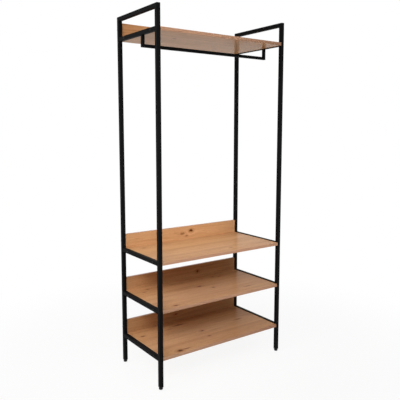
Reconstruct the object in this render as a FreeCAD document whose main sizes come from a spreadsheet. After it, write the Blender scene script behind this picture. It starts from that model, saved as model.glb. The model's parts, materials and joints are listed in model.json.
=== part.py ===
import FreeCAD, Part
import math
import os
import Sketcher

# Driving dimensions in millimetres: alias, value, meaning
SIZES = (
    ("overall_width", 800, "outer face to outer face of the side frames"),
    ("overall_depth", 400, "front face to rear face of the posts"),
    ("overall_height", 1850, "floor to the top of the side frames"),
    ("tube_width", 20, "side of the square frame tube"),
    ("tube_wall", 1.2, "wall of the frame tube"),
    ("tube_corner", 1.5, "outer corner radius of the frame tube"),
    ("tube_bore_corner", 0.4, "inner corner radius of the frame tube"),
    ("hat_rail_drop", 102, "top of the side frames to the top of the hat shelf rails"),
    ("bottom_rail_top", 164, "floor to the top of the bottom shelf rails"),
    ("shelf_pitch", 240, "rise from each lower shelf to the next"),
    ("board_thickness", 16, "thickness of boards and upstands"),
    ("board_edge_radius", 1, "rounding of the edges that show"),
    ("upstand_rise", 75, "height of an upstand above its board"),
    ("bar_width", 15, "side of the square hanging bar tube"),
    ("bar_wall", 1.2, "wall of the hanging bar tube"),
    ("bar_corner", 1.5, "outer corner radius of the hanging bar tube"),
    ("bar_bore_corner", 0.4, "inner corner radius of the hanging bar tube"),
    ("bar_drop", 58, "underside of the hat shelf rails to the underside of the bar"),
    ("bar_setback", 150, "front face of the posts to the middle of the bar"),
    ("cut_overrun", 1, "reach of a mitre cut past the tube"),
    ("bolt_diameter", 6, "shank of every bolt"),
    ("bolt_length", 35, "length of a bolt under its head"),
    ("bolt_tip_chamfer", 0.8, "chamfer at a bolt's tip"),
    ("bolt_head_diameter", 10.5, "rim of the domed head"),
    ("bolt_head_height", 3.3, "height of the domed head"),
    ("bolt_head_flat", 5.5, "flat on top of the domed head"),
    ("socket_width", 4, "hexagon socket across its flats"),
    ("socket_depth", 2.1, "depth of the hexagon socket"),
    ("bolt_hole_clearance", 0.25, "radial room of a bolt in a tube wall"),
    ("thread_clearance", 0.05, "radial room of a thread in its nut"),
    ("bolt_inset", 60, "front or rear edge of a board to its bolts"),
    ("upstand_bolt_rise", 40, "top of a board to the bolts of its upstand"),
    ("insert_diameter", 10, "threaded insert in a board end"),
    ("insert_length", 16, "length of a threaded insert"),
    ("insert_chamfer", 0.6, "lead-in of a threaded insert"),
    ("fit_clearance", 0.05, "radial room of inserts, dowels and stems in their holes"),
    ("dowel_diameter", 8, "wooden dowel between board and upstand"),
    ("dowel_in_board", 20, "length of a dowel in the board"),
    ("dowel_in_upstand", 10, "length of a dowel in the upstand"),
    ("dowel_chamfer", 1, "chamfer at both ends of a dowel"),
    ("dowel_inset", 80, "end of a board to its outer dowels"),
    ("dowel_count", 3, "dowels between a board and its upstand"),
    ("hole_end_room", 1, "free depth beyond an insert, bolt or dowel in its hole"),
    ("block_length", 20, "threaded block in the top of a bar drop"),
    ("block_wall", 1.8, "wall of a threaded block's boss"),
    ("plug_flange", 3, "flange of a post plug, outside the tube"),
    ("plug_depth", 24, "reach of a post plug into the tube"),
    ("plug_wall", 2.5, "wall of a post plug's boss"),
    ("plug_clearance", 0.1, "room between the ribs of a plug or block and the tube's bore, each side"),
    ("plug_rib_corner", 1, "corner radius of a rib"),
    ("plug_rib_thickness", 1.5, "thickness of a rib"),
    ("plug_rib_start", 3, "either end of a plug or block to its nearest rib"),
    ("plug_rib_count", 4, "ribs on a plug or block"),
    ("foot_pad_diameter", 20, "round foot pad"),
    ("foot_pad_height", 11, "height of a foot pad"),
    ("foot_pad_edge", 2, "rounding of the pad at the floor"),
    ("foot_pad_chamfer", 0.8, "chamfer of the pad at its top"),
    ("foot_pad_floor", 3, "pad material under the stem"),
    ("foot_gap", 0.3, "gap between pad and plug with the foot screwed in"),
    ("foot_stem_diameter", 8, "threaded stem of a foot"),
    ("foot_stem_reach", 30, "stem above the pad"),
    ("foot_stem_chamfer", 1, "chamfer at the top of the stem"),
)

doc = FreeCAD.newDocument("open_frame_wardrobe")
sizes = doc.addObject("Spreadsheet::Sheet", "sizes")
for row, (alias, value, meaning) in enumerate(SIZES, start=1):
    sizes.set(f"A{row}", meaning)
    sizes.set(f"B{row}", str(value))
    sizes.setAlias(f"B{row}", alias)
doc.recompute()

# Places that several pieces share, as expressions of the sheet's cells
HALF_WIDTH = "(sizes.overall_width / 2)"
HALF_DEPTH = "(sizes.overall_depth / 2)"
HALF_TUBE = "(sizes.tube_width / 2)"
POST_X = f"({HALF_WIDTH} - {HALF_TUBE})"
POST_Y = f"({HALF_DEPTH} - {HALF_TUBE})"
POST_END = "(sizes.foot_pad_height + sizes.foot_gap + sizes.plug_flange)"
POST_LENGTH = f"(sizes.overall_height - {POST_END})"
RAIL_LENGTH = "(sizes.overall_depth - 2 * sizes.tube_width)"
BOARD_LENGTH = "(sizes.overall_width - 2 * sizes.tube_width)"
BOARD_END = f"({BOARD_LENGTH} / 2)"
BOARD_DEPTH = "(sizes.overall_depth - sizes.board_thickness)"
HALF_BOARD = "(sizes.board_thickness / 2)"
BOARD_MIDDLE = f"(-{HALF_BOARD})"
BOARD_SINK = f"({HALF_TUBE} - {HALF_BOARD})"
UPSTAND_FRONT = f"({HALF_DEPTH} - sizes.board_thickness)"
BOLT_SPACING = f"({BOARD_DEPTH} - 2 * sizes.bolt_inset)"
BOLT_HOLE = "(sizes.bolt_diameter + 2 * sizes.bolt_hole_clearance)"
NUT_BORE = "(sizes.bolt_diameter + 2 * sizes.thread_clearance)"
INSERT_HOLE = "(sizes.insert_diameter + 2 * sizes.fit_clearance)"
BOLT_REACH = "(sizes.bolt_length - sizes.tube_width)"
INSERT_HOLE_DEPTH = f"(max(sizes.insert_length; {BOLT_REACH}) + sizes.hole_end_room)"
DOWEL_HOLE = "(sizes.dowel_diameter + 2 * sizes.fit_clearance)"
DOWEL_FIRST = f"(sizes.dowel_inset - {BOARD_END})"
DOWEL_SPAN = f"({BOARD_LENGTH} - 2 * sizes.dowel_inset)"
STEM_BORE = "(sizes.foot_stem_diameter + 2 * sizes.thread_clearance)"
HAT_RAIL_TOP = "(sizes.overall_height - sizes.hat_rail_drop)"
HAT_RAIL_UNDERSIDE = f"({HAT_RAIL_TOP} - sizes.tube_width)"
BAR_Y = f"(sizes.bar_setback - {HALF_DEPTH})"
BAR_LENGTH = "(sizes.overall_width - sizes.tube_width + sizes.bar_width)"
BAR_BOTTOM = f"({HAT_RAIL_UNDERSIDE} - sizes.bar_drop)"

# Tops of the shelf rails
LEVELS = {
    "hat_shelf": HAT_RAIL_TOP,
    "bench_shelf": "(sizes.bottom_rail_top + 2 * sizes.shelf_pitch)",
    "middle_shelf": "(sizes.bottom_rail_top + sizes.shelf_pitch)",
    "bottom_shelf": "sizes.bottom_rail_top",
}
# Tops of the boards, which are centred on the height of their rails
BOARD_TOPS = {level: f"({top} - {BOARD_SINK})" for level, top in LEVELS.items()}
SIDES = {"left": "-1", "right": "1"}
ENDS = {"front": "-1", "rear": "1"}

X_AXIS = (1, 0, 0)
Y_AXIS = (0, 1, 0)
Z_AXIS = (0, 0, 1)
DIAGONAL = (1, 1, 1)
QUARTER_TURN = 90
THIRD_TURN = 120
HALF_TURN = 180
SQUARE_CORNERS = 4
PAIR = "2"

# Numbers by which a sketch knows its own axes and the points of a line or circle
HORIZONTAL_AXIS, VERTICAL_AXIS = range(-1, -3, -1)
START, END, CENTRE = range(1, 4)
ORIGIN = (HORIZONTAL_AXIS, START)

parts = []


def number(expression):
    """Present value of an expression of the sheet's cells."""
    return float(sizes.evalExpression(expression))


def new_body(label):
    """Empty body that becomes one node."""
    body = doc.addObject("PartDesign::Body", label)
    body.Label = label
    parts.append(body)
    return body


def place(body, x, y, z, axis=Z_AXIS, angle=0):
    """Turns a body about an axis and binds its place to expressions."""
    turn = FreeCAD.Rotation(FreeCAD.Vector(*axis), angle)
    body.Placement = FreeCAD.Placement(FreeCAD.Vector(), turn)
    for name, expression in zip("xyz", (x, y, z)):
        body.setExpression(f"Placement.Base.{name}", expression)


def origin_feature(body, role):
    """Origin plane or axis of a body."""
    return next(item for item in body.Origin.OriginFeatures if item.Role == role)


def new_sketch(body, plane, offset="0"):
    """Sketch on an origin plane of its body, moved along the plane's normal."""
    sketch = body.newObject("Sketcher::SketchObject", f"{body.Name}_sketch")
    sketch.AttachmentSupport = [(origin_feature(body, plane), "")]
    sketch.MapMode = "FlatFace"
    sketch.setExpression("AttachmentOffset.Base.z", offset)
    return sketch


def dimension(sketch, kind, where, expression):
    """Adds a dimension and binds it to an expression."""
    index = sketch.addConstraint(Sketcher.Constraint(kind, *where, number(expression)))
    sketch.setExpression(f"Constraints[{index}]", expression)


def locate(sketch, item, point, across, up):
    """Fixes a point by its distances from the sketch's axes. At zero it lies on the axis."""
    distances = (("DistanceX", VERTICAL_AXIS, across), ("DistanceY", HORIZONTAL_AXIS, up))
    for kind, axis, expression in distances:
        if expression == "0":
            sketch.addConstraint(Sketcher.Constraint("PointOnObject", item, point, axis))
        else:
            dimension(sketch, kind, (*ORIGIN, item, point), expression)


def vector(across, up):
    """Present place of a point in a sketch."""
    return FreeCAD.Vector(number(across), number(up), 0)


def outline(sketch, points, closed=True):
    """Straight lines from point to point, and back to the first where closed."""
    ends = points[1:] + points[:1] if closed else points[1:]
    lines = []
    for first, second in zip(points, ends):
        lines.append(sketch.addGeometry(Part.LineSegment(vector(*first), vector(*second))))
    following = lines[1:] + lines[:1] if closed else lines[1:]
    for line, other in zip(lines, following):
        sketch.addConstraint(Sketcher.Constraint("Coincident", line, END, other, START))
    for line, point in zip(lines, points):
        locate(sketch, line, START, *point)
    if not closed:
        locate(sketch, lines[-1], END, *points[-1])
    return lines


def rectangle(sketch, left, right, low, high):
    """Rectangle between two places across and two places up."""
    outline(sketch, [(left, low), (right, low), (right, high), (left, high)])


def rounded_square(sketch, side, radius):
    """Square with rounded corners about the sketch's origin."""
    half = number(side) / 2
    corner = number(radius)
    flat = half - corner
    lines = []
    arcs = []
    for index in range(SQUARE_CORNERS):
        turn = FreeCAD.Rotation(FreeCAD.Vector(*Z_AXIS), QUARTER_TURN * index)
        first = turn.multVec(FreeCAD.Vector(-flat, -half, 0))
        second = turn.multVec(FreeCAD.Vector(flat, -half, 0))
        middle = turn.multVec(FreeCAD.Vector(flat, -flat, 0))
        lines.append(sketch.addGeometry(Part.LineSegment(first, second)))
        circle = Part.Circle(middle, FreeCAD.Vector(*Z_AXIS), corner)
        low = math.radians(QUARTER_TURN * (index - 1))
        high = math.radians(QUARTER_TURN * index)
        arcs.append(sketch.addGeometry(Part.ArcOfCircle(circle, low, high)))
    for index in range(SQUARE_CORNERS):
        following = lines[(index + 1) % SQUARE_CORNERS]
        sketch.addConstraint(Sketcher.Constraint("Tangent", lines[index], END, arcs[index], START))
        sketch.addConstraint(Sketcher.Constraint("Tangent", arcs[index], END, following, START))
        direction = "Horizontal" if index % 2 == 0 else "Vertical"
        sketch.addConstraint(Sketcher.Constraint(direction, lines[index]))
    for arc in arcs[1:]:
        sketch.addConstraint(Sketcher.Constraint("Equal", arcs[0], arc))
    centres = (arcs[0], CENTRE, arcs[2], CENTRE)
    sketch.addConstraint(Sketcher.Constraint("Symmetric", *centres, *ORIGIN))
    dimension(sketch, "Radius", (arcs[0],), radius)
    dimension(sketch, "DistanceX", (lines[3], START, lines[1], START), side)
    dimension(sketch, "DistanceY", (lines[0], START, lines[2], START), side)


def circles(sketch, centres, diameter):
    """Equal circles about the given centres."""
    for centre in centres:
        shape = Part.Circle(vector(*centre), FreeCAD.Vector(*Z_AXIS), number(diameter) / 2)
        circle = sketch.addGeometry(shape)
        locate(sketch, circle, CENTRE, *centre)
        dimension(sketch, "Diameter", (circle,), diameter)


def hexagon(sketch, width):
    """Regular hexagon about the sketch's origin, given its width across the flats."""
    flat = f"({width} / 2)"
    point = f"({width} / sqrt(3))"
    shoulder = f"({point} / 2)"
    outline(sketch, [
        ("0", point), (f"(-{flat})", shoulder), (f"(-{flat})", f"(-{shoulder})"),
        ("0", f"(-{point})"), (flat, f"(-{shoulder})"), (flat, shoulder),
    ])


def pad(body, sketch, length, symmetric=False):
    """Raises a sketch along its normal."""
    feature = body.newObject("PartDesign::Pad", f"{body.Name}_pad")
    feature.Profile = sketch
    feature.SideType = "Symmetric" if symmetric else "One side"
    feature.setExpression("Length", length)
    doc.recompute()
    return feature


def pocket(body, sketch, length=None, reverse=False):
    """Cuts a sketch into the body, right through where no length is given."""
    before = body.Tip.Shape.Volume
    feature = body.newObject("PartDesign::Pocket", f"{body.Name}_pocket")
    feature.Profile = sketch
    feature.Reversed = reverse
    if length is None:
        feature.Type = "ThroughAll"
        feature.SideType = "Symmetric"
    else:
        feature.setExpression("Length", length)
    doc.recompute()
    if feature.Shape.Volume >= before:
        raise RuntimeError(f"{feature.Name} cuts nothing")
    return feature


def drill(body, plane, centres, diameter):
    """Round holes right through a body, square to one of its planes."""
    sketch = new_sketch(body, plane)
    circles(sketch, centres, diameter)
    pocket(body, sketch)


def revolve(body, sketch, axis):
    """Turns a half section once round an axis of its sketch."""
    feature = body.newObject("PartDesign::Revolution", f"{body.Name}_revolution")
    feature.Profile = sketch
    feature.ReferenceAxis = (sketch, [axis])
    doc.recompute()


def copy_by(feature, body, originals):
    """Makes a pattern copy the given features, or all of the body where none is given."""
    if originals:
        feature.Originals = list(originals)
    else:
        feature.TransformMode = "Whole shape"
    body.Tip = feature


def repeat(body, axis, length, count, originals=()):
    """Copies along one of the body's axes, evenly over a length."""
    row = body.newObject("PartDesign::LinearPattern", f"{body.Name}_row")
    copy_by(row, body, originals)
    row.Direction = (origin_feature(body, axis), [""])
    row.setExpression("Length", length)
    row.setExpression("Occurrences", count)
    doc.recompute()


def mirror(body, originals=()):
    """Copies from the right half of the body to the left."""
    mirrored = body.newObject("PartDesign::Mirrored", f"{body.Name}_mirror")
    copy_by(mirrored, body, originals)
    mirrored.MirrorPlane = (origin_feature(body, "YZ_Plane"), [""])
    doc.recompute()


def round_edges(body, radius, wanted):
    """Rounds the edges that satisfy a test."""
    base = body.Tip
    names = [f"Edge{index}" for index, edge in enumerate(base.Shape.Edges, start=1) if wanted(edge)]
    fillet = body.newObject("PartDesign::Fillet", f"{body.Name}_fillet")
    fillet.Base = (base, names)
    fillet.setExpression("Radius", radius)
    doc.recompute()


def lies_at(edge, axis, value):
    """Whether an edge runs wholly at one place along an axis."""
    box = edge.BoundBox
    low = getattr(box, f"{axis}Min")
    high = getattr(box, f"{axis}Max")
    return abs(low - value) + abs(high - value) < 2 * Part.Precision.confusion()


def is_long(edge):
    """Whether an edge runs the length of a board."""
    return math.isclose(edge.Length, number(BOARD_LENGTH))


def tube(label, stock, length, low_mitre=False, high_mitre=False):
    """Square tube along local Z. A mitre leaves its end shortest at local +Y."""
    side = f"sizes.{stock}_width"
    body = new_body(label)
    section = new_sketch(body, "XY_Plane")
    rounded_square(section, side, f"sizes.{stock}_corner")
    rounded_square(section, f"({side} - 2 * sizes.{stock}_wall)", f"sizes.{stock}_bore_corner")
    pad(body, section, length)
    near = f"({side} / 2 + sizes.cut_overrun)"
    far = f"(-{side} / 2 - sizes.cut_overrun)"
    under = "(-sizes.cut_overrun)"
    over = f"({length} + sizes.cut_overrun)"
    reach = f"({side} + sizes.cut_overrun)"
    cuts = []
    if low_mitre:
        cuts.append([(near, under), (near, reach), (far, under)])
    if high_mitre:
        cuts.append([(near, over), (far, over), (near, f"({length} - {reach})")])
    for triangle in cuts:
        cut = new_sketch(body, "YZ_Plane")
        outline(cut, triangle)
        pocket(body, cut)
    return body


def plug(body, stock, start, depth, wall, bore):
    """Threaded boss along local Z from a given place, with square ribs that grip a tube's bore."""
    boss = new_sketch(body, "XY_Plane", start)
    circles(boss, [("0", "0")], f"({bore} + 2 * {wall})")
    pad(body, boss, depth)
    rib = new_sketch(body, "XY_Plane", f"({start} + sizes.plug_rib_start)")
    tube_bore = f"(sizes.{stock}_width - 2 * sizes.{stock}_wall)"
    rounded_square(rib, f"({tube_bore} - 2 * sizes.plug_clearance)", "sizes.plug_rib_corner")
    first = pad(body, rib, "sizes.plug_rib_thickness")
    row = f"({depth} - 2 * sizes.plug_rib_start - sizes.plug_rib_thickness)"
    repeat(body, "Z_Axis", row, "sizes.plug_rib_count", [first])
    drill(body, "XY_Plane", [("0", "0")], bore)


def bolt(body, seat):
    """Bolt along local X with a domed head that seats at the given place and points to +X."""
    tip = f"({seat} - sizes.bolt_length)"
    crown = f"({seat} + sizes.bolt_head_height)"
    shank = "(sizes.bolt_diameter / 2)"
    rim = "(sizes.bolt_head_diameter / 2)"
    flat = "(sizes.bolt_head_flat / 2)"
    section = new_sketch(body, "XY_Plane")
    lines = outline(section, [
        (crown, flat), (crown, "0"), (tip, "0"), (tip, f"({shank} - sizes.bolt_tip_chamfer)"),
        (f"({tip} + sizes.bolt_tip_chamfer)", shank), (seat, shank), (seat, rim),
    ], closed=False)
    # The dome is part of a sphere about the bolt's axis, from the rim up to the flat
    height = number("sizes.bolt_head_height")
    sag = (number(rim) ** 2 - number(flat) ** 2 - height ** 2) / (2 * height)
    middle = FreeCAD.Vector(number(seat) - sag, 0, 0)
    sphere = Part.Circle(middle, FreeCAD.Vector(*Z_AXIS), math.hypot(number(rim), sag))
    low = math.atan2(number(flat), height + sag)
    high = math.atan2(number(rim), sag)
    dome = section.addGeometry(Part.ArcOfCircle(sphere, low, high))
    section.addConstraint(Sketcher.Constraint("Coincident", dome, START, lines[0], START))
    section.addConstraint(Sketcher.Constraint("Coincident", dome, END, lines[-1], END))
    section.addConstraint(Sketcher.Constraint("PointOnObject", dome, CENTRE, HORIZONTAL_AXIS))
    revolve(body, section, "H_Axis")
    socket = new_sketch(body, "YZ_Plane", crown)
    hexagon(socket, "sizes.socket_width")
    pocket(body, socket, "sizes.socket_depth")


def insert(body, mouth):
    """Threaded insert along local X, its mouth at the given place and its lead-in towards zero."""
    outer = "(sizes.insert_diameter / 2)"
    bore = f"({NUT_BORE} / 2)"
    inner_end = f"({mouth} - sizes.insert_length)"
    section = new_sketch(body, "XY_Plane")
    outline(section, [
        (mouth, bore), (mouth, outer), (f"({inner_end} + sizes.insert_chamfer)", outer),
        (inner_end, f"({outer} - sizes.insert_chamfer)"), (inner_end, bore),
    ])
    revolve(body, section, "H_Axis")


def post(side, end):
    """Upright of a side frame, mitred at its top. The rear ones take the upstand bolts."""
    body = tube(f"{side}_{end}_post", "tube", POST_LENGTH, high_mitre=True)
    if end == "rear":
        across = f"({HALF_BOARD} - {HALF_TUBE})"
        heights = [f"({top} + sizes.upstand_bolt_rise - {POST_END})" for top in BOARD_TOPS.values()]
        drill(body, "YZ_Plane", [(across, height) for height in heights], BOLT_HOLE)
    turn = 0 if end == "front" else HALF_TURN
    place(body, f"{SIDES[side]} * {POST_X}", f"{ENDS[end]} * {POST_Y}", POST_END, Z_AXIS, turn)


def top_rail(side):
    """Rail between the post tops, mitred at both ends."""
    body = tube(f"{side}_top_rail", "tube", "sizes.overall_depth", low_mitre=True, high_mitre=True)
    height = f"sizes.overall_height - {HALF_TUBE}"
    place(body, f"{SIDES[side]} * {POST_X}", f"-{HALF_DEPTH}", height, X_AXIS, -QUARTER_TURN)


def shelf_rail(side, level):
    """Cross rail that a board is bolted to. The hat shelf's also carries the hanging bar."""
    body = tube(f"{side}_{level}_rail", "tube", RAIL_LENGTH)
    first = "(sizes.bolt_inset - sizes.tube_width)"
    drill(body, "YZ_Plane", [("0", first), ("0", f"({first} + {BOLT_SPACING})")], BOLT_HOLE)
    if level == "hat_shelf":
        drill(body, "XZ_Plane", [("0", "(sizes.bar_setback - sizes.tube_width)")], BOLT_HOLE)
    front = f"sizes.tube_width - {HALF_DEPTH}"
    height = f"{LEVELS[level]} - {HALF_TUBE}"
    place(body, f"{SIDES[side]} * {POST_X}", front, height, X_AXIS, -QUARTER_TURN)


def insert_holes(body, centres):
    """Blind holes for threaded inserts in both ends of a board or upstand."""
    sketch = new_sketch(body, "YZ_Plane", BOARD_END)
    circles(sketch, centres, INSERT_HOLE)
    mirror(body, [pocket(body, sketch, INSERT_HOLE_DEPTH)])


def dowel_holes(body, offset, length, reverse=False):
    """Row of blind holes for dowels, cut from a plane across the depth."""
    sketch = new_sketch(body, "XZ_Plane", offset)
    circles(sketch, [(DOWEL_FIRST, BOARD_MIDDLE)], DOWEL_HOLE)
    first = pocket(body, sketch, f"({length} + sizes.hole_end_room)", reverse)
    repeat(body, "X_Axis", DOWEL_SPAN, "sizes.dowel_count", [first])


def board(level):
    """Shelf board with its front edges rounded."""
    body = new_body(f"{level}_board")
    section = new_sketch(body, "YZ_Plane")
    rectangle(section, "0", BOARD_DEPTH, "(-sizes.board_thickness)", "0")
    pad(body, section, BOARD_LENGTH, symmetric=True)
    round_edges(body, "sizes.board_edge_radius", lambda edge: is_long(edge) and lies_at(edge, "Y", 0))
    rear_bolt = f"(sizes.bolt_inset + {BOLT_SPACING})"
    insert_holes(body, [("sizes.bolt_inset", BOARD_MIDDLE), (rear_bolt, BOARD_MIDDLE)])
    dowel_holes(body, f"(-{BOARD_DEPTH})", "sizes.dowel_in_board", reverse=True)
    place(body, "0", f"-{HALF_DEPTH}", BOARD_TOPS[level])


def upstand(level):
    """Upright board behind a shelf board, with its top edges rounded."""
    body = new_body(f"{level}_upstand")
    section = new_sketch(body, "YZ_Plane")
    rectangle(section, "0", "sizes.board_thickness", "(-sizes.board_thickness)", "sizes.upstand_rise")
    pad(body, section, BOARD_LENGTH, symmetric=True)
    rise = number("sizes.upstand_rise")
    round_edges(body, "sizes.board_edge_radius", lambda edge: is_long(edge) and lies_at(edge, "Z", rise))
    insert_holes(body, [(HALF_BOARD, "sizes.upstand_bolt_rise")])
    dowel_holes(body, "0", "sizes.dowel_in_upstand")
    place(body, "0", UPSTAND_FRONT, BOARD_TOPS[level])


def board_fasteners(level):
    """Bolts through the shelf rails, and the inserts they screw into."""
    for label, shape, seat in (("bolts", bolt, HALF_WIDTH), ("inserts", insert, BOARD_END)):
        body = new_body(f"{level}_{label}")
        shape(body, seat)
        repeat(body, "Y_Axis", BOLT_SPACING, PAIR)
        mirror(body)
        place(body, "0", f"sizes.bolt_inset - {HALF_DEPTH}", f"{BOARD_TOPS[level]} - {HALF_BOARD}")


def upstand_fasteners(level):
    """Bolts through the rear posts, and the inserts they screw into."""
    for label, shape, seat in (("bolts", bolt, HALF_WIDTH), ("inserts", insert, BOARD_END)):
        body = new_body(f"{level}_upstand_{label}")
        shape(body, seat)
        mirror(body)
        place(body, "0", f"{HALF_DEPTH} - {HALF_BOARD}", f"{BOARD_TOPS[level]} + sizes.upstand_bolt_rise")


def dowels(level):
    """Row of dowels between a board and its upstand."""
    body = new_body(f"{level}_dowels")
    rim = "(sizes.dowel_diameter / 2)"
    neck = f"({rim} - sizes.dowel_chamfer)"
    front = "(-sizes.dowel_in_board)"
    rear = "sizes.dowel_in_upstand"
    section = new_sketch(body, "XY_Plane")
    outline(section, [
        ("0", front), (neck, front), (rim, f"({front} + sizes.dowel_chamfer)"),
        (rim, f"({rear} - sizes.dowel_chamfer)"), (neck, rear), ("0", rear),
    ])
    revolve(body, section, "V_Axis")
    repeat(body, "X_Axis", DOWEL_SPAN, "sizes.dowel_count")
    place(body, DOWEL_FIRST, UPSTAND_FRONT, f"{BOARD_TOPS[level]} - {HALF_BOARD}")


def hanging_bar():
    """Bar with a drop at each end, all mitred at the two lower corners."""
    bar = tube("hanging_bar", "bar", BAR_LENGTH, low_mitre=True, high_mitre=True)
    height = f"{BAR_BOTTOM} + sizes.bar_width / 2"
    place(bar, f"-{BAR_LENGTH} / 2", BAR_Y, height, DIAGONAL, THIRD_TURN)
    for side, turn in (("left", -QUARTER_TURN), ("right", QUARTER_TURN)):
        drop = tube(f"{side}_hanging_bar_drop", "bar", "sizes.bar_drop", low_mitre=True)
        place(drop, f"{SIDES[side]} * {POST_X}", BAR_Y, BAR_BOTTOM, Z_AXIS, turn)


def hanging_bar_fasteners():
    """Threaded block in the top of each drop, and the bolts that come down into them."""
    blocks = new_body("hanging_bar_blocks")
    plug(blocks, "bar", "0", "sizes.block_length", "sizes.block_wall", NUT_BORE)
    repeat(blocks, "X_Axis", f"(2 * {POST_X})", PAIR)
    place(blocks, f"-{POST_X}", BAR_Y, f"{HAT_RAIL_UNDERSIDE} - sizes.block_length")
    bolts = new_body("hanging_bar_bolts")
    bolt(bolts, "0")
    repeat(bolts, "Z_Axis", f"(2 * {POST_X})", PAIR)
    place(bolts, POST_X, BAR_Y, HAT_RAIL_TOP, Y_AXIS, -QUARTER_TURN)


def foot_plug(label, x, y):
    """Plug in the lower end of a post, with a flange under the tube and a thread for the foot."""
    body = new_body(label)
    flange = new_sketch(body, "XY_Plane")
    rounded_square(flange, "sizes.tube_width", "sizes.tube_corner")
    pad(body, flange, "sizes.plug_flange")
    plug(body, "tube", "sizes.plug_flange", "sizes.plug_depth", "sizes.plug_wall", STEM_BORE)
    place(body, x, y, "sizes.foot_pad_height + sizes.foot_gap")


def foot_pad(label, x, y):
    """Round pad that stands on the floor, with a socket for the stem."""
    body = new_body(label)
    section = new_sketch(body, "XZ_Plane")
    rim = "(sizes.foot_pad_diameter / 2)"
    socket = "(sizes.foot_stem_diameter / 2 + sizes.fit_clearance)"
    outline(section, [
        ("0", "0"), (rim, "0"), (rim, "(sizes.foot_pad_height - sizes.foot_pad_chamfer)"),
        (f"({rim} - sizes.foot_pad_chamfer)", "sizes.foot_pad_height"),
        (socket, "sizes.foot_pad_height"), (socket, "sizes.foot_pad_floor"), ("0", "sizes.foot_pad_floor"),
    ])
    revolve(body, section, "V_Axis")
    round_edges(body, "sizes.foot_pad_edge", lambda edge: lies_at(edge, "Z", 0))
    place(body, x, y, "0")


def foot_stem(label, x, y):
    """Threaded stem that stands in the pad and screws into the plug."""
    body = new_body(label)
    section = new_sketch(body, "XZ_Plane")
    rim = "(sizes.foot_stem_diameter / 2)"
    top = "(sizes.foot_pad_height + sizes.foot_stem_reach)"
    outline(section, [
        ("0", "sizes.foot_pad_floor"), (rim, "sizes.foot_pad_floor"),
        (rim, f"({top} - sizes.foot_stem_chamfer)"), (f"({rim} - sizes.foot_stem_chamfer)", top), ("0", top),
    ])
    revolve(body, section, "V_Axis")
    place(body, x, y, "0")


# Side frames and their feet
for side in SIDES:
    for end in ENDS:
        post(side, end)
        foot_place = (f"{SIDES[side]} * {POST_X}", f"{ENDS[end]} * {POST_Y}")
        foot_plug(f"{side}_{end}_foot_plug", *foot_place)
        foot_pad(f"{side}_{end}_foot_pad", *foot_place)
        foot_stem(f"{side}_{end}_foot_stem", *foot_place)
    top_rail(side)
    for level in LEVELS:
        shelf_rail(side, level)

# Shelves between the side frames
for level in LEVELS:
    board(level)
    upstand(level)
    board_fasteners(level)
    upstand_fasteners(level)
    dowels(level)

# Hanging bar under the hat shelf rails
hanging_bar()
hanging_bar_fasteners()
doc.recompute()

# Every object has to be sound before anything is written
for item in doc.Objects:
    if "Invalid" in item.State or "Error" in item.State:
        raise RuntimeError(f"{item.Name} did not build: {item.State}")
for body in parts:
    if body.Shape.isNull() or not body.Shape.isValid():
        raise RuntimeError(f"{body.Label} has no valid shape")

os.makedirs("parts", exist_ok=True)
for body in parts:
    body.Shape.exportStep(os.path.join("parts", f"{body.Label}.step"))
    print(f"{body.Label}: {len(body.Shape.Solids)} solids, {body.Shape.Volume:.1f} cubic millimetres")
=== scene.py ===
import json
import math

import bpy
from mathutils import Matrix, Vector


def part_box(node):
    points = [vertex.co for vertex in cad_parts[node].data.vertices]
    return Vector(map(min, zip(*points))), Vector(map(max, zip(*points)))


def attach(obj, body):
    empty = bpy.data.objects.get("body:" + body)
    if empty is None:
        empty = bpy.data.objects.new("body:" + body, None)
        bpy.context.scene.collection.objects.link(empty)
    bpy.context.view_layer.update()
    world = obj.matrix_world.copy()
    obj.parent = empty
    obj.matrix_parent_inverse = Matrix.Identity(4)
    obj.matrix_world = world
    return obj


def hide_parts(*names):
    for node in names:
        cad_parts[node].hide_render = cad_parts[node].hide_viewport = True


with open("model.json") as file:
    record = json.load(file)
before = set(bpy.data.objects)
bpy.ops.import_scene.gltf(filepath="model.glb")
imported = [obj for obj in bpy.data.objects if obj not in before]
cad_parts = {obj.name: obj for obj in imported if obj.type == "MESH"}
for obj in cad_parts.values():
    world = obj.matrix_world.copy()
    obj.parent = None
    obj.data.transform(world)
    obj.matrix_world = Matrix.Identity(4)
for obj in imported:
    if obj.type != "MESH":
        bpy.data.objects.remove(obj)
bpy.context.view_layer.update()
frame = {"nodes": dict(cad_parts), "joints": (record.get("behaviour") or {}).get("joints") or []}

NODES = frame["nodes"]
SIDES = ("left", "right")
SHELVES = ("hat_shelf", "bench_shelf", "middle_shelf", "bottom_shelf")
# Each end's direction along Y
ENDS = {"front": -1, "rear": 1}
WHITE = (1.0, 1.0, 1.0, 1.0)
# Most of a noise texture's values lie between these two
NOISE_LOW = 0.3
NOISE_HIGH = 0.7


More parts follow.
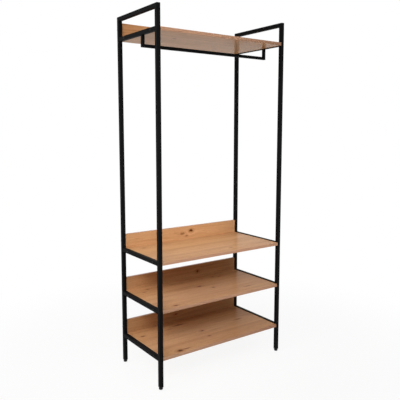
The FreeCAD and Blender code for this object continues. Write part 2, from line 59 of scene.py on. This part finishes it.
class Tree:
    """The shader nodes of a material or a world, with a short call for each kind of node."""

    # Where the colours are among the sockets of a mix node
    MIX_FIRST = 6
    MIX_SECOND = 7
    MIX_RESULT = 2

    def __init__(self, owner):
        owner.use_nodes = True
        self.owner = owner
        self.nodes = owner.node_tree.nodes
        self.links = owner.node_tree.links

    def put(self, socket, value):
        """Links a socket to another node's output, or sets it to a constant."""
        if isinstance(value, bpy.types.NodeSocket):
            self.links.new(value, socket)
        else:
            socket.default_value = value

    def place(self):
        """The place on the object, in metres."""
        node = self.nodes.new("ShaderNodeTexCoord")
        return node.outputs["Object"]

    def split(self, vector):
        node = self.nodes.new("ShaderNodeSeparateXYZ")
        self.put(node.inputs[0], vector)
        return node.outputs

    def join(self, x, y, z):
        node = self.nodes.new("ShaderNodeCombineXYZ")
        for socket, value in zip(node.inputs, (x, y, z)):
            self.put(socket, value)
        return node.outputs[0]

    def math(self, operation, *values):
        node = self.nodes.new("ShaderNodeMath")
        node.operation = operation
        for socket, value in zip(node.inputs, values):
            self.put(socket, value)
        return node.outputs[0]

    def stretch(self, vector, factors):
        node = self.nodes.new("ShaderNodeVectorMath")
        node.operation = "MULTIPLY"
        self.put(node.inputs[0], vector)
        node.inputs[1].default_value = factors
        return node.outputs[0]

    def noise(self, vector, scale, detail, roughness):
        """Noise with a scale in waves per metre, either one number or one for each of X, Y and Z."""
        if isinstance(scale, tuple):
            vector = self.stretch(vector, scale)
            scale = 1.0
        node = self.nodes.new("ShaderNodeTexNoise")
        self.put(node.inputs["Vector"], vector)
        node.inputs["Scale"].default_value = scale
        node.inputs["Detail"].default_value = detail
        node.inputs["Roughness"].default_value = roughness
        return node.outputs[0]

    def chance(self, value):
        """A random number from 0 to 1 that stays the same where the value does."""
        node = self.nodes.new("ShaderNodeTexWhiteNoise")
        node.noise_dimensions = "1D"
        self.put(node.inputs["W"], value)
        return node.outputs["Value"]

    def spread(self, value, low, high, new_low, new_high, smooth=False):
        """Turns values from low to high into values from new_low to new_high."""
        node = self.nodes.new("ShaderNodeMapRange")
        node.interpolation_type = "SMOOTHSTEP" if smooth else "LINEAR"
        self.put(node.inputs["Value"], value)
        node.inputs["From Min"].default_value = low
        node.inputs["From Max"].default_value = high
        node.inputs["To Min"].default_value = new_low
        node.inputs["To Max"].default_value = new_high
        return node.outputs[0]

    def vary(self, noise, low, high):
        """Spreads a noise from low to high."""
        return self.spread(noise, NOISE_LOW, NOISE_HIGH, low, high)

    def ramp(self, value, stops):
        node = self.nodes.new("ShaderNodeValToRGB")
        self.put(node.inputs[0], value)
        elements = node.color_ramp.elements
        while len(elements) < len(stops):
            elements.new(1.0)
        for element, (position, colour) in zip(elements, stops):
            element.position = position
            element.color = (*colour, 1.0)
        return node.outputs[0]

    def tint(self, noise, low_colour, high_colour):
        """Colours a noise from its low to its high values."""
        return self.ramp(noise, ((NOISE_LOW, low_colour), (NOISE_HIGH, high_colour)))

    def cover(self, share, under, colour):
        """Mixes that share of a colour over what is under it."""
        node = self.nodes.new("ShaderNodeMix")
        node.data_type = "RGBA"
        self.put(node.inputs["Factor"], share)
        self.put(node.inputs[self.MIX_FIRST], under)
        node.inputs[self.MIX_SECOND].default_value = (*colour, 1.0)
        return node.outputs[self.MIX_RESULT]

    def bump(self, height, strength, distance):
        node = self.nodes.new("ShaderNodeBump")
        node.inputs["Strength"].default_value = strength
        node.inputs["Distance"].default_value = distance
        self.put(node.inputs["Height"], height)
        return node.outputs[0]

    def surface(self, **values):
        """Sets the main shader's sockets, and returns the material."""
        sockets = self.nodes["Principled BSDF"].inputs
        for name, value in values.items():
            self.put(sockets[name.replace("_", " ")], value)
        return self.owner

    def shown(self):
        """1 on the rays that show what they meet, and 0 on those that carry light from it."""
        path = self.nodes.new("ShaderNodeLightPath").outputs
        seen = self.math("MAXIMUM", path["Is Camera Ray"], path["Is Glossy Ray"])
        return self.math("MAXIMUM", seen, path["Is Transmission Ray"])

    def blend(self, share, first, second, output):
        """Sends a mix of two shaders to the output node of that name."""
        node = self.nodes.new("ShaderNodeMixShader")
        for socket, value in zip(node.inputs, (share, first, second)):
            self.put(socket, value)
        self.put(self.nodes[output].inputs["Surface"], node.outputs[0])


def material_tree(name):
    return Tree(bpy.data.materials.new(name))


def white_glow(node, strength):
    """Makes an emission or background node white, and returns its shader."""
    node.inputs["Color"].default_value = WHITE
    node.inputs["Strength"].default_value = strength
    return node.outputs[0]


# Oak decor of the boards and upstands
OAK_LIGHT = (0.620, 0.350, 0.173)
OAK_MIDDLE = (0.534, 0.283, 0.131)
OAK_DARK = (0.427, 0.203, 0.086)
OAK_PORE = (0.240, 0.080, 0.024)
KNOT_HALO = (0.270, 0.080, 0.018)
KNOT_HEART = (0.085, 0.023, 0.005)
# Edge colour: a paler, pinker tone, partly the edge band's own colour and partly a painted sheen of
# reflected white on the front and top edges
EDGE_BAND_AND_SHEEN = (0.370, 0.235, 0.220)

# Planks, with the seam's reach in plank widths
PLANK_WIDTH = 0.118
PLANK_SEED_STEP = 3.7
SEAM_REACH = 0.008
SEAM_SHARE = 0.42

# Waves of the grain per metre along, per metre across and per step of the plank's seed
SLOW_WAVES = (1.3, 9.0, 1.0)
STREAK_WAVES = (2.6, 55.0, 1.0)
FIBRE_WAVES = (14.0, 760.0, 1.0)
FLECK_WAVES = (9.0, 150.0, 1.0)
PORE_WAVES = (55.0, 1500.0, 1.0)

# Growth rings per metre across, and how far the slow waves and the streaks move them
RINGS_PER_METRE = 70.0
RING_DRIFT = 7.0
RING_WAVER = 0.9

# What each part of the grain adds to the figure, and the sums that are light and dark oak
RING_LOW = 0.36
RING_HIGH = 0.64
STREAK_WEIGHT = 1.2
SLOW_WEIGHT = 1.2
FIBRE_WEIGHT = 0.24
PLANK_WEIGHT = 0.16
FIGURE_LIGHT = 1.44
FIGURE_DARK = 2.36

# The noise values at which pores and flecks begin and are full, and their shares of colour
PORE_RANGE = (0.60, 0.70)
PORE_SHARE = 0.5
FLECK_RANGE = (0.63, 0.78)
FLECK_SHARE = 0.45

# Knots, with their reaches in the knot's own half sizes
KNOT_EDGE_WAVES = 75.0
KNOT_EDGE_WOBBLE = 1.4
KNOT_PUSH = 1.05
KNOT_PUSH_REACH = 3.0
HEART_FULL = 0.45
HEART_REACH = 1.0
HALO_FULL = 0.6
HALO_REACH = 2.4
HALO_SHARE = 0.68
HALO_RING_RATE = 9.0
HALO_RING_DEPTH = 0.32
HALO_RING_LEVEL = 0.85

# Edge band and its painted sheen, with the share of its thickness at which its colour is full
BAND_THICKNESS = 0.001
BAND_FULL = 0.9
BAND_AND_SHEEN_SHARE = 0.35


def grain_round_knots(tree, along, across, seed, knots):
    """How far across the grain flows as it passes the knots, and the shares of their hearts and halos."""
    edge_noise = tree.noise(tree.join(along, across, seed), KNOT_EDGE_WAVES, detail=3.0, roughness=0.6)
    wobble = tree.math("MULTIPLY_ADD", edge_noise, KNOT_EDGE_WOBBLE, -0.5 * KNOT_EDGE_WOBBLE)
    push_base = math.exp(-1 / KNOT_PUSH_REACH ** 2)
    flow = across
    heart = 0.0
    halo = 0.0
    for knot_along, knot_across, half_length, half_width, depth in knots:
        off_along = tree.math("MULTIPLY_ADD", along, 1 / half_length, -knot_along / half_length)
        off_across = tree.math("MULTIPLY_ADD", across, 1 / half_width, -knot_across / half_width)
        along_squared = tree.math("MULTIPLY", off_along, off_along)
        squared = tree.math("MULTIPLY_ADD", off_across, off_across, along_squared)
        push = tree.math("MULTIPLY", off_across, tree.math("POWER", push_base, squared))
        flow = tree.math("MULTIPLY_ADD", push, -KNOT_PUSH * half_width, flow)

        reach = tree.math("ADD", tree.math("SQRT", squared), wobble)
        inner = tree.spread(reach, HEART_FULL, HEART_REACH, depth, 0.0, smooth=True)
        outer = tree.spread(reach, HALO_FULL, HALO_REACH, HALO_SHARE * depth, 0.0, smooth=True)
        rings = tree.math("SINE", tree.math("MULTIPLY", reach, HALO_RING_RATE))
        ringed = tree.math("MULTIPLY_ADD", rings, HALO_RING_DEPTH, HALO_RING_LEVEL)
        heart = tree.math("MAXIMUM", heart, inner)
        halo = tree.math("MAXIMUM", halo, tree.math("MULTIPLY", outer, ringed))
    return flow, heart, halo


def plank_figure(tree, place, flow, fibres, tone):
    """The figure of the planks, from 0 in light oak to 1 in dark oak."""
    slow = tree.noise(place, SLOW_WAVES, detail=2.0, roughness=0.5)
    streaks = tree.noise(place, STREAK_WAVES, detail=3.0, roughness=0.6)
    rings = tree.math("MULTIPLY_ADD", slow, RING_DRIFT, tree.math("MULTIPLY", flow, RINGS_PER_METRE))
    rings = tree.math("MULTIPLY_ADD", streaks, RING_WAVER, rings)
    figure = tree.spread(tree.math("FRACT", rings), 0.0, 1.0, RING_LOW, RING_HIGH)
    figure = tree.math("MULTIPLY_ADD", streaks, STREAK_WEIGHT, figure)
    figure = tree.math("MULTIPLY_ADD", slow, SLOW_WEIGHT, figure)
    figure = tree.math("MULTIPLY_ADD", fibres, FIBRE_WEIGHT, figure)
    figure = tree.math("MULTIPLY_ADD", tone, PLANK_WEIGHT, figure)
    return tree.spread(figure, FIGURE_LIGHT, FIGURE_DARK, 0.0, 1.0)


def oak(name, level, plank_edge, seed, knots, band_and_sheen_edge):
    """Oak decor whose grain runs along the board and flows round its knots.

    A place on it is (along, across).
    Across is measured from level, over the face and down its front edge alike.
    Each knot is (along, across, half length, half width, depth of colour).
    The edge with the band and its painted sheen is an axis, the edge's place on it and the way in from
    the edge, 1 or -1.
    """
    tree = material_tree(name)
    place = tree.split(tree.place())
    along = place["X"]
    across = tree.math("SUBTRACT", tree.math("ADD", place["Y"], place["Z"]), level)
    flow, heart, halo = grain_round_knots(tree, along, across, seed, knots)

    strip = tree.math("MULTIPLY_ADD", across, 1 / PLANK_WIDTH, -plank_edge / PLANK_WIDTH)
    plank_seed = tree.math("MULTIPLY_ADD", tree.math("FLOOR", strip), PLANK_SEED_STEP, seed)
    seam_distance = tree.math("PINGPONG", strip, 0.5)
    grain_place = tree.join(along, flow, plank_seed)
    fibres = tree.noise(grain_place, FIBRE_WAVES, detail=2.0, roughness=0.6)
    flecks = tree.noise(grain_place, FLECK_WAVES, detail=2.0, roughness=0.5)
    pores = tree.noise(grain_place, PORE_WAVES, detail=1.0, roughness=0.5)
    figure = plank_figure(tree, grain_place, flow, fibres, tree.chance(plank_seed))

    colour = tree.ramp(figure, ((0.0, OAK_LIGHT), (0.5, OAK_MIDDLE), (1.0, OAK_DARK)))
    pore_share = tree.spread(pores, *PORE_RANGE, 0.0, PORE_SHARE, smooth=True)
    fleck_share = tree.spread(flecks, *FLECK_RANGE, 0.0, FLECK_SHARE, smooth=True)
    seam_share = tree.spread(seam_distance, 0.0, SEAM_REACH, SEAM_SHARE, 0.0, smooth=True)
    for share in (pore_share, fleck_share, seam_share):
        colour = tree.cover(share, colour, OAK_PORE)
    colour = tree.cover(halo, colour, KNOT_HALO)
    colour = tree.cover(heart, colour, KNOT_HEART)

    # Paler, pinker strip along the front of a board and the top of an upstand: partly the edge band's own
    # colour, partly a painted sheen
    axis, edge, inward = band_and_sheen_edge
    band_end = edge + inward * BAND_THICKNESS
    band_full = edge + BAND_FULL * inward * BAND_THICKNESS
    band_and_sheen = tree.spread(place[axis], band_end, band_full, 0.0, BAND_AND_SHEEN_SHARE)
    colour = tree.cover(band_and_sheen, colour, EDGE_BAND_AND_SHEEN)

    height = tree.math("SUBTRACT", fibres, pore_share)
    return tree.surface(
        Base_Color=colour,
        Roughness=tree.vary(fibres, low=0.27, high=0.35),
        Specular_IOR_Level=0.04,
        Normal=tree.bump(height, strength=0.12, distance=0.0002),
    )


# Knots and dark streaks, each as oak() takes them
BOARD_KNOTS = {
    "hat_shelf": (
        (-0.205, -0.060, 0.012, 0.006, 0.6),
        (0.150, 0.075, 0.012, 0.005, 0.5),
    ),
    "bench_shelf": (
        (-0.300, 0.124, 0.012, 0.005, 0.8),
        (-0.145, 0.127, 0.022, 0.004, 0.4),
        (0.060, 0.023, 0.100, 0.002, 0.5),
        (0.092, -0.137, 0.010, 0.005, 0.8),
    ),
    "middle_shelf": (
        (-0.007, 0.020, 0.019, 0.008, 0.8),
        (0.046, -0.040, 0.009, 0.006, 0.85),
        (0.165, 0.127, 0.012, 0.006, 0.5),
        (0.203, 0.115, 0.014, 0.006, 0.5),
        (0.220, -0.132, 0.024, 0.004, 0.65),
        (0.110, 0.005, 0.060, 0.002, 0.4),
        (-0.272, 0.140, 0.010, 0.006, 0.7),
        (-0.312, 0.106, 0.010, 0.005, 0.6),
        (-0.285, -0.170, 0.015, 0.007, 0.85),
    ),
    "bottom_shelf": (
        (-0.265, -0.175, 0.018, 0.012, 0.95),
        (-0.225, -0.172, 0.026, 0.005, 0.7),
        (-0.088, 0.118, 0.038, 0.007, 0.75),
        (-0.024, -0.030, 0.013, 0.007, 0.75),
        (-0.033, -0.108, 0.008, 0.006, 0.7),
        (0.253, -0.007, 0.020, 0.006, 0.7),
        (-0.330, 0.093, 0.015, 0.007, 0.7),
        (-0.166, 0.094, 0.030, 0.003, 0.4),
    ),
}
UPSTAND_KNOTS = {
    "hat_shelf": ((-0.110, 0.030, 0.010, 0.005, 0.6),),
    "bench_shelf": (
        (0.049, 0.047, 0.014, 0.009, 0.95),
        (-0.012, 0.035, 0.020, 0.008, 0.5),
        (0.017, 0.019, 0.010, 0.005, 0.5),
    ),
    "middle_shelf": ((0.094, 0.033, 0.010, 0.008, 0.9),),
    "bottom_shelf": ((-0.060, 0.040, 0.012, 0.005, 0.6),),
}


# Powder coat of the steel tubes
COAT_DARK = (0.0036, 0.0036, 0.0039)
COAT_LIGHT = (0.0060, 0.0060, 0.0064)
COAT_PEEL = 0.6


def powder_coat():
    tree = material_tree("black_powder_coat")
    place = tree.place()
    grain = tree.noise(place, scale=1500.0, detail=2.0, roughness=0.6)
    peel = tree.noise(place, scale=260.0, detail=2.0, roughness=0.5)
    cloud = tree.noise(place, scale=9.0, detail=3.0, roughness=0.5)
    height = tree.math("MULTIPLY_ADD", peel, COAT_PEEL, grain)
    return tree.surface(
        Base_Color=tree.tint(cloud, COAT_DARK, COAT_LIGHT),
        Roughness=tree.vary(cloud, low=0.60, high=0.70),
        Specular_IOR_Level=0.05,
        Normal=tree.bump(height, strength=0.07, distance=0.0002),
    )


# Moulded plastic of the plugs and feet
PLASTIC_DARK = (0.0060, 0.0060, 0.0062)
PLASTIC_LIGHT = (0.0105, 0.0105, 0.0108)


def moulded_plastic():
    tree = material_tree("black_moulded_plastic")
    place = tree.place()
    spark = tree.noise(place, scale=2200.0, detail=3.0, roughness=0.7)
    cloud = tree.noise(place, scale=60.0, detail=2.0, roughness=0.5)
    return tree.surface(
        Base_Color=tree.tint(cloud, PLASTIC_DARK, PLASTIC_LIGHT),
        Roughness=tree.vary(spark, low=0.55, high=0.70),
        Specular_IOR_Level=0.25,
        Normal=tree.bump(spark, strength=0.3, distance=0.0002),
    )


# Blackened steel of the bolts, most of which lie along X
BLACKENED_DARK = (0.0080, 0.0078, 0.0076)
BLACKENED_LIGHT = (0.0190, 0.0185, 0.0180)
TURNING_WAVES = (2400.0, 300.0, 300.0)


def blackened_steel():
    tree = material_tree("blackened_steel")
    place = tree.place()
    turning = tree.noise(place, TURNING_WAVES, detail=2.0, roughness=0.6)
    patches = tree.noise(place, scale=420.0, detail=3.0, roughness=0.6)
    return tree.surface(
        Base_Color=tree.tint(patches, BLACKENED_DARK, BLACKENED_LIGHT),
        Metallic=0.35,
        Roughness=tree.vary(turning, low=0.30, high=0.46),
        Specular_IOR_Level=0.3,
        Normal=tree.bump(turning, strength=0.15, distance=0.0001),
    )


# Zinc-plated steel of the stems, inserts and threaded blocks
ZINC_DARK = (0.47, 0.48, 0.50)
ZINC_LIGHT = (0.62, 0.63, 0.64)
ROLLING_WAVES = (300.0, 300.0, 2600.0)


def zinc_plate():
    tree = material_tree("zinc_plated_steel")
    place = tree.place()
    spangle = tree.noise(place, scale=700.0, detail=3.0, roughness=0.6)
    rolled = tree.noise(place, ROLLING_WAVES, detail=2.0, roughness=0.6)
    return tree.surface(
        Base_Color=tree.tint(spangle, ZINC_DARK, ZINC_LIGHT),
        Metallic=1.0,
        Roughness=tree.vary(rolled, low=0.26, high=0.42),
        Normal=tree.bump(rolled, strength=0.15, distance=0.0001),
    )


# Beech of the dowels, with its grain along Y
BEECH_LIGHT = (0.60, 0.40, 0.24)
BEECH_DARK = (0.47, 0.28, 0.15)
BEECH_FLECK = (0.30, 0.15, 0.07)
BEECH_FIBRE_WAVES = (900.0, 30.0, 900.0)
BEECH_FLECK_WAVES = (1800.0, 260.0, 1800.0)
BEECH_FLECK_RANGE = (0.62, 0.72)
BEECH_FLECK_SHARE = 0.5


def beech():
    tree = material_tree("beech")
    place = tree.place()
    fibres = tree.noise(place, BEECH_FIBRE_WAVES, detail=3.0, roughness=0.6)
    flecks = tree.noise(place, BEECH_FLECK_WAVES, detail=1.0, roughness=0.5)
    fleck_share = tree.spread(flecks, *BEECH_FLECK_RANGE, 0.0, BEECH_FLECK_SHARE)
    colour = tree.tint(fibres, BEECH_LIGHT, BEECH_DARK)
    return tree.surface(
        Base_Color=tree.cover(fleck_share, colour, BEECH_FLECK),
        Roughness=tree.vary(fibres, low=0.50, high=0.65),
        Normal=tree.bump(fibres, strength=0.3, distance=0.0002),
    )


def coat(node, material):
    """Gives a CAD node that material in all of its slots."""
    slots = node.data.materials
    if not slots:
        slots.append(material)
    for index in range(len(slots)):
        slots[index] = material


# Finishes of the CAD nodes, by the ends of their names
COAT = powder_coat()
PLASTIC = moulded_plastic()
BLACK_STEEL = blackened_steel()
ZINC = zinc_plate()
BEECH = beech()
FINISHES = (
    ("_post", COAT),
    ("_rail", COAT),
    ("_drop", COAT),
    ("hanging_bar", COAT),
    ("_bolts", BLACK_STEEL),
    ("_inserts", ZINC),
    ("_blocks", ZINC),
    ("_stem", ZINC),
    ("_dowels", BEECH),
    ("_plug", PLASTIC),
    ("_pad", PLASTIC),
)
for ending, finish in FINISHES:
    for node_name, node in NODES.items():
        if node_name.endswith(ending):
            coat(node, finish)

# Oak of each shelf, with the place of a plank's edge across it and the first seed of its grain
BOARD_PLANK_EDGE = 0.023
BOARD_SEED = 11.0
UPSTAND_PLANK_EDGE = -0.030
UPSTAND_SEED = 31.0
for order, shelf in enumerate(SHELVES):
    board = shelf + "_board"
    upstand = shelf + "_upstand"
    board_low, board_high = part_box(board)
    upstand_low, upstand_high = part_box(upstand)
    coat(NODES[board], oak(
        name=board + "_oak",
        level=board_high[2],
        plank_edge=BOARD_PLANK_EDGE,
        seed=BOARD_SEED + order,
        knots=BOARD_KNOTS[shelf],
        band_and_sheen_edge=("Y", board_low[1], 1),
    ))
    coat(NODES[upstand], oak(
        name=upstand + "_oak",
        level=board_high[2] + upstand_low[1],
        plank_edge=UPSTAND_PLANK_EDGE,
        seed=UPSTAND_SEED + order,
        knots=UPSTAND_KNOTS[shelf],
        band_and_sheen_edge=("Z", upstand_high[2], -1),
    ))


def mesh_piece(name, points, faces, smooth=True):
    mesh = bpy.data.meshes.new(name)
    mesh.from_pydata(points, [], faces)
    mesh.update()
    piece = bpy.data.objects.new(name, mesh)
    bpy.context.scene.collection.objects.link(piece)
    for polygon in mesh.polygons:
        polygon.use_smooth = smooth
    return piece


# Weld beads where each rail meets its posts
BEAD_LEG = 0.0026
BEAD_HALF_LENGTH = 0.0092
BEAD_STEPS = 66
BEAD_ARC = 6
BEAD_BULGE = 0.12
BEAD_RIPPLES = 11
BEAD_RIPPLE_DEPTH = 0.1
# How far a bead thins at its ends, and how late
BEAD_THINNING = 0.45
BEAD_THINNING_POWER = 10


def bead(points, faces, x, y, z, inward, upward):
    """Adds a fillet in the corner at y, z, with its legs along the rail and along the post."""
    first = len(points)
    ring = BEAD_ARC + 2
    for step in range(BEAD_STEPS + 1):
        share = step / BEAD_STEPS
        ripple = 0.5 + 0.5 * math.cos(2 * math.pi * BEAD_RIPPLES * share)
        fullness = math.sqrt(max(0.0, 1 - (2 * share - 1) ** BEAD_THINNING_POWER))
        leg = BEAD_LEG * (1 - BEAD_THINNING + BEAD_THINNING * fullness)
        leg *= 1 - BEAD_RIPPLE_DEPTH + BEAD_RIPPLE_DEPTH * ripple
        here = x + BEAD_HALF_LENGTH * (2 * share - 1)
        points.append((here, y, z))
        for arc in range(BEAD_ARC + 1):
            angle = 0.5 * math.pi * arc / BEAD_ARC
            across = math.cos(angle)
            up = math.sin(angle)
            reach = leg / (across + up) * (1 + BEAD_BULGE * math.sin(2 * angle))
            points.append((here, y + inward * reach * across, z + upward * reach * up))
    new_faces = []
    for step in range(BEAD_STEPS):
        for corner in range(ring):
            near = first + step * ring + corner
            near_next = first + step * ring + (corner + 1) % ring
            new_faces.append((near, near_next, near_next + ring, near + ring))
    last = first + BEAD_STEPS * ring
    new_faces.append(tuple(reversed(range(first, first + ring))))
    new_faces.append(tuple(range(last, last + ring)))
    faces += new_faces if inward * upward > 0 else [face[::-1] for face in new_faces]


for side in SIDES:
    bead_points = []
    bead_faces = []
    corners = [(side + "_top_rail", -1)]
    corners += [(side + "_" + shelf + "_rail", upward) for shelf in SHELVES for upward in (1, -1)]
    for rail, upward in corners:
        low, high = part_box(rail)
        middle = 0.5 * (low[0] + high[0])
        height = high[2] if upward > 0 else low[2]
        for end in ENDS:
            low_post, high_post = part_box(side + "_" + end + "_post")
            post_face = high_post[1] if end == "front" else low_post[1]
            bead(bead_points, bead_faces, middle, post_face, height, -ENDS[end], upward)
    beads = mesh_piece(side + "_weld_beads", bead_points, bead_faces)
    beads.data.materials.append(COAT)
    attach(beads, "frame")


# Threaded stems of the levelling feet
STEM_CREST_RADIUS = 0.0040
STEM_ROOT_RADIUS = 0.00338
STEM_PITCH = 0.00125
STEM_TIP_INSET = 0.0004
STEPS_PER_TURN = 28
ROWS_PER_PITCH = 8
# The thread's height at the middle of its crest, cut off at 1, and its fall to either side
THREAD_PEAK = 1.25
THREAD_FALL = 1.5


def threaded_stem(name, low, high):
    """A rod with a helical thread between two heights, chamfered at its upper end."""
    x = 0.5 * (low[0] + high[0])
    y = 0.5 * (low[1] + high[1])
    length = high[2] - low[2]
    rows = round(length / STEM_PITCH * ROWS_PER_PITCH)
    points = []
    for row in range(rows + 1):
        z = low[2] + length * row / rows
        limit = min(STEM_CREST_RADIUS, STEM_ROOT_RADIUS - STEM_TIP_INSET + (high[2] - z))
        for step in range(STEPS_PER_TURN):
            turn = step / STEPS_PER_TURN
            phase = ((z - low[2]) / STEM_PITCH - turn) % 1.0
            thread = min(1.0, max(0.0, THREAD_PEAK - THREAD_FALL * abs(2 * phase - 1)))
            radius = min(limit, STEM_ROOT_RADIUS + (STEM_CREST_RADIUS - STEM_ROOT_RADIUS) * thread)
            angle = 2 * math.pi * turn
            points.append((x + radius * math.cos(angle), y + radius * math.sin(angle), z))
    faces = []
    for row in range(rows):
        for step in range(STEPS_PER_TURN):
            near = row * STEPS_PER_TURN + step
            near_next = row * STEPS_PER_TURN + (step + 1) % STEPS_PER_TURN
            faces.append((near, near_next, near_next + STEPS_PER_TURN, near + STEPS_PER_TURN))
    last = rows * STEPS_PER_TURN
    faces.append(tuple(reversed(range(STEPS_PER_TURN))))
    faces.append(tuple(range(last, last + STEPS_PER_TURN)))
    return mesh_piece(name, points, faces)


for side in SIDES:
    for end in ENDS:
        foot = side + "_" + end + "_foot"
        stem = threaded_stem(foot + "_threaded_stem", *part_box(foot + "_stem"))
        stem.data.materials.append(ZINC)
        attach(stem, foot)
        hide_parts(foot + "_stem")


# Floor: pale, white to the camera and in reflections, and keeping the object's shadow
FLOOR_REACH = 30.0
FLOOR_COLOUR = (0.92, 0.92, 0.92, 1.0)
# The feet stand on it when they are screwed fully out
FLOOR_LEVEL = -max(joint["range_m"][1] for joint in frame["joints"])
# The share of plain white near the object, and the distances where it begins to rise and is 1
WHITE_NEAR = 0.90
RISE_START = 0.6
RISE_END = 1.9
FLOOR_CORNERS = ((-1, -1), (1, -1), (1, 1), (-1, 1))
floor = mesh_piece(
    "floor",
    [(x * FLOOR_REACH, y * FLOOR_REACH, FLOOR_LEVEL) for x, y in FLOOR_CORNERS],
    [tuple(range(len(FLOOR_CORNERS)))],
    smooth=False,
)
floor_tree = material_tree("pale_floor")
floor_tree.surface(Base_Color=FLOOR_COLOUR, Roughness=0.9, Specular_IOR_Level=0.0)
floor_place = floor_tree.split(floor_tree.place())
y_squared = floor_tree.math("MULTIPLY", floor_place["Y"], floor_place["Y"])
squared = floor_tree.math("MULTIPLY_ADD", floor_place["X"], floor_place["X"], y_squared)
distance = floor_tree.math("SQRT", squared)
whiteness = floor_tree.spread(distance, RISE_START, RISE_END, WHITE_NEAR, 1.0, smooth=True)
floor_tree.blend(
    floor_tree.math("MULTIPLY", floor_tree.shown(), whiteness),
    floor_tree.nodes["Principled BSDF"].outputs[0],
    white_glow(floor_tree.nodes.new("ShaderNodeEmission"), strength=1.0),
    "Material Output",
)
floor.data.materials.append(floor_tree.owner)


# World: white behind the object, and a softer even light on it
EVEN_LIGHT = 0.28
scene = bpy.context.scene
scene.world = bpy.data.worlds.new("studio")
world_tree = Tree(scene.world)
world_tree.blend(
    world_tree.shown(),
    white_glow(world_tree.nodes["Background"], strength=EVEN_LIGHT),
    white_glow(world_tree.nodes.new("ShaderNodeBackground"), strength=1.0),
    "World Output",
)


# Lamps, each with its name, position, aim, width, height, beam in degrees and power in watts
SOFTBOXES = (
    ("front_left_softbox", (-1.8, -2.1, 2.7), (0.0, 0.0, 0.5), 1.6, 1.2, 60.0, 6.7),
    ("left_softbox", (-2.5, -0.3, 2.3), (0.0, 0.0, 0.2), 1.6, 1.2, 84.0, 7.8),
    ("near_front_softbox", (0.2, -1.4, 1.5), (0.0, 0.0, 0.8), 1.0, 0.6, 70.0, 2.3),
    ("low_softbox", (-0.7, -1.7, 0.25), (0.0, 0.0, 1.75), 1.6, 0.6, 64.0, 1.5),
    ("top_softbox", (-0.4, -0.9, 2.9), (-0.2, 0.1, 1.75), 0.8, 0.6, 40.0, 1.25),
    ("rear_softbox", (0.3, 1.9, 2.5), (0.0, 0.0, 0.7), 1.6, 1.2, 70.0, 1.5),
)


def softbox(name, position, aim, width, height, beam, power):
    """A large soft lamp at a position, turned to its aim."""
    light = bpy.data.lights.new(name, "AREA")
    light.shape = "RECTANGLE"
    light.size = width
    light.size_y = height
    light.energy = power
    light.spread = math.radians(beam)
    lamp = bpy.data.objects.new(name, light)
    scene.collection.objects.link(lamp)
    lamp.location = position
    x, y, z = (a - p for a, p in zip(aim, position))
    lamp.rotation_euler = (math.atan2(math.hypot(x, y), -z), 0.0, math.atan2(y, x) - 0.5 * math.pi)
    lamp.visible_camera = False
    lamp.visible_glossy = False


for lamp_values in SOFTBOXES:
    softbox(*lamp_values)


# Camera at the photograph's viewing angle, with tilt and turn in degrees, lens and sensor in mm
CAMERA_PLACE = (-1.6322, -2.2696, 1.2765)
CAMERA_TILT = 6.682
CAMERA_TURN = 35.435
CAMERA_LENS = 46.235
CAMERA_SENSOR = 36.0
CAMERA_SHIFT = -0.025
camera_data = bpy.data.cameras.new("camera")
camera_data.sensor_width = CAMERA_SENSOR
camera_data.lens = CAMERA_LENS
camera_data.shift_y = CAMERA_SHIFT
camera = bpy.data.objects.new("camera", camera_data)
scene.collection.objects.link(camera)
camera.location = CAMERA_PLACE
camera.rotation_euler = (math.radians(90 - CAMERA_TILT), 0.0, math.radians(-CAMERA_TURN))
scene.camera = camera
scene.view_settings.view_transform = "Standard"
